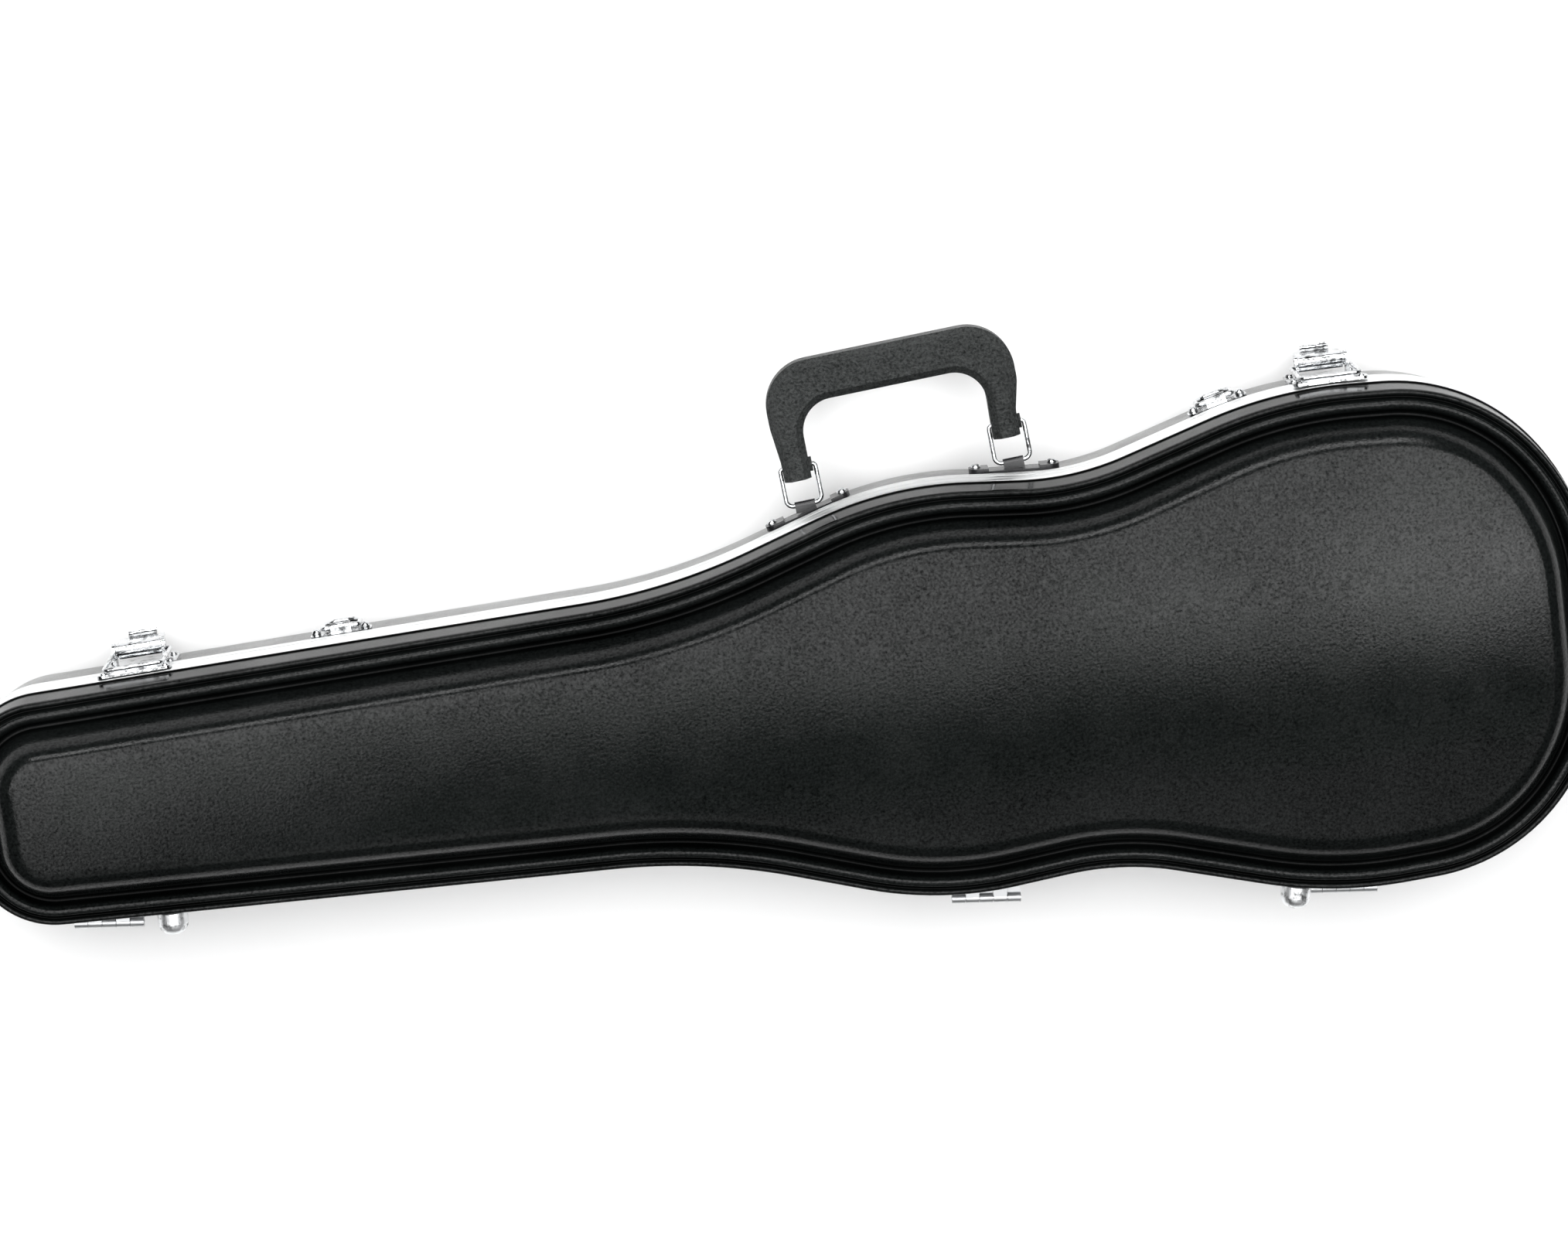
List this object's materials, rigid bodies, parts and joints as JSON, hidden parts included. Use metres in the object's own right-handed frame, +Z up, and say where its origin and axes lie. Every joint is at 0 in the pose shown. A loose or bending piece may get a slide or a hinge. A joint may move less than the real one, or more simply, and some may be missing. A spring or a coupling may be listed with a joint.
{
  "type": "violin case",
  "caption": "Shaped hard case for a violin: two hinged shells with a metal valance, draw latches, swinging carry handle, strap rings, side feet and padded interior.",
  "frame": {"origin": "on the flat back of the base shell, on the centre line of the case plan and midway between its neck end and its wide end", "axes": "+X from the neck end to the wide end, +Y to the handle side, +Z up through the lid with the case lying on its back"},
  "size_m": [0.796, 0.3006, 0.112],
  "materials": {
    "shell_black": "leather-grained moulded thermoplastic, satin black",
    "valance_metal": "brushed clear-anodised aluminium channel",
    "chrome": "bright nickel-chrome plating",
    "hinge_steel": "plated steel",
    "handle_black": "pebbled moulded plastic, matt black",
    "bracket_black": "black enamelled steel strip",
    "plush": "short-pile plush, charcoal grey",
    "strap_fabric": "woven black tape",
    "spinner_plastic": "black moulded plastic"
  },
  "bodies": {
    "base": {"base_shell": "shell_black", "base_valance": "valance_metal", "base_floor_pad": "plush", "base_body_pads": "plush", "base_pocket_pads": "plush", "base_neck_pads": "plush", "base_pocket_divider": "plush", "neck_cradle": "plush", "neck_strap": "strap_fabric", "compartment_hinge": "strap_fabric", "base_feet": "chrome", "handle_bracket_left": "bracket_black", "handle_bracket_right": "bracket_black", "handle_bracket_rivets": "chrome", "latch_pivot_pins": "chrome", "latch_plate_rivets": "chrome", "strap_anchor_rivets": "chrome", "hinge_pins": "hinge_steel", "hinge_base_rivets": "chrome", "latch_plate_neck": "chrome", "strap_anchor_neck": "chrome", "latch_plate_body": "chrome", "strap_anchor_body": "chrome", "hinge_base_leaf_neck": "hinge_steel", "hinge_base_leaf_waist": "hinge_steel", "hinge_base_leaf_body": "hinge_steel"},
    "handle_loop_left": {"handle_loop_left": "chrome"},
    "handle_loop_right": {"handle_loop_right": "chrome"},
    "handle_grip": {"handle_grip": "handle_black"},
    "compartment_lid": {"compartment_lid": "plush", "compartment_pull": "strap_fabric"},
    "bow_spinner_near": {"bow_spinner_near": "spinner_plastic"},
    "bow_spinner_far": {"bow_spinner_far": "spinner_plastic"},
    "latch_lever_neck": {"latch_lever_neck": "chrome"},
    "latch_link_neck": {"latch_link_neck": "chrome"},
    "strap_ring_neck": {"strap_ring_neck": "chrome"},
    "latch_lever_body": {"latch_lever_body": "chrome"},
    "latch_link_body": {"latch_link_body": "chrome"},
    "strap_ring_body": {"strap_ring_body": "chrome"},
    "lid": {"lid_shell": "shell_black", "lid_valance": "valance_metal", "lid_side_pads": "plush", "lid_shoulder_pads": "plush", "lid_top_pad": "plush", "lid_feet": "chrome", "latch_keeper_rivets": "chrome", "hinge_lid_rivets": "chrome", "bow_spinner_posts": "spinner_plastic", "bow_tip_pockets": "plush", "latch_keeper_neck": "chrome", "latch_keeper_body": "chrome", "hinge_lid_leaf_neck": "hinge_steel", "hinge_lid_leaf_waist": "hinge_steel", "hinge_lid_leaf_body": "hinge_steel"}
  },
  "joints": [
    {"name": "lid_hinge", "type": "hinge", "parent": "base", "child": "lid", "pos_m": [0.088, -0.10833, 0.0622], "axis": [0.9945, -0.1049, 0], "range_deg": [0, 100]},
    {"name": "handle_swing", "type": "hinge", "parent": "base", "child": "handle_loop_left", "pos_m": [0.02501, 0.09321, 0.04], "axis": [0.9972, 0.075, 0], "range_deg": [-60, 60]},
    {"name": "handle_swing_right", "type": "hinge", "parent": "base", "child": "handle_loop_right", "pos_m": [0.12809, 0.10096, 0.04], "axis": [0.9972, 0.075, 0], "range_deg": [-60, 60]},
    {"name": "grip_pivot", "type": "hinge", "parent": "handle_loop_left", "child": "handle_grip", "pos_m": [0.02358, 0.11216, 0.04], "axis": [0.9972, 0.075, 0], "range_deg": [-25, 25]},
    {"name": "latch_lever_neck", "type": "hinge", "parent": "base", "child": "latch_lever_neck", "pos_m": [-0.30622, 0.06587, 0.038], "axis": [0.9995, 0.0312, 0], "range_deg": [0, 105]},
    {"name": "latch_link_neck", "type": "hinge", "parent": "latch_lever_neck", "child": "latch_link_neck", "pos_m": [-0.30611, 0.06247, 0.0332], "axis": [0.9995, 0.0312, 0], "range_deg": [-116, 0]},
    {"name": "latch_lever_body", "type": "hinge", "parent": "base", "child": "latch_lever_body", "pos_m": [0.28203, 0.13032, 0.038], "axis": [1, -0.0049, 0], "range_deg": [0, 105]},
    {"name": "latch_link_body", "type": "hinge", "parent": "latch_lever_body", "child": "latch_link_body", "pos_m": [0.28202, 0.12693, 0.0332], "axis": [1, -0.0049, 0], "range_deg": [-116, 0]},
    {"name": "strap_ring_neck", "type": "hinge", "parent": "base", "child": "strap_ring_neck", "pos_m": [-0.20705, 0.06367, 0.0425], "axis": [0.9995, 0.0312, 0], "range_deg": [0, 120]},
    {"name": "strap_ring_body", "type": "hinge", "parent": "base", "child": "strap_ring_body", "pos_m": [0.22859, 0.11872, 0.0425], "axis": [0.9708, 0.24, 0], "range_deg": [0, 120]},
    {"name": "bow_spinner_near", "type": "hinge", "parent": "lid", "child": "bow_spinner_near", "pos_m": [0.3, -0.024, 0.085], "axis": [0, 0, 1], "range_deg": [-90, 90]},
    {"name": "bow_spinner_far", "type": "hinge", "parent": "lid", "child": "bow_spinner_far", "pos_m": [0.3, 0.024, 0.085], "axis": [0, 0, 1], "range_deg": [-90, 90]},
    {"name": "compartment_hinge", "type": "hinge", "parent": "base", "child": "compartment_lid", "pos_m": [-0.3115, -0.04269, 0.0576], "axis": [0.9995, -0.0312, 0], "range_deg": [0, 12]}
  ],
  "couplings": [
    {"joint": "handle_swing_right", "follows": "handle_swing", "ratio": 1},
    {"joint": "latch_link_neck", "follows": "latch_lever_neck", "ratio": -1.1},
    {"joint": "latch_link_body", "follows": "latch_lever_body", "ratio": -1.1}
  ]
}
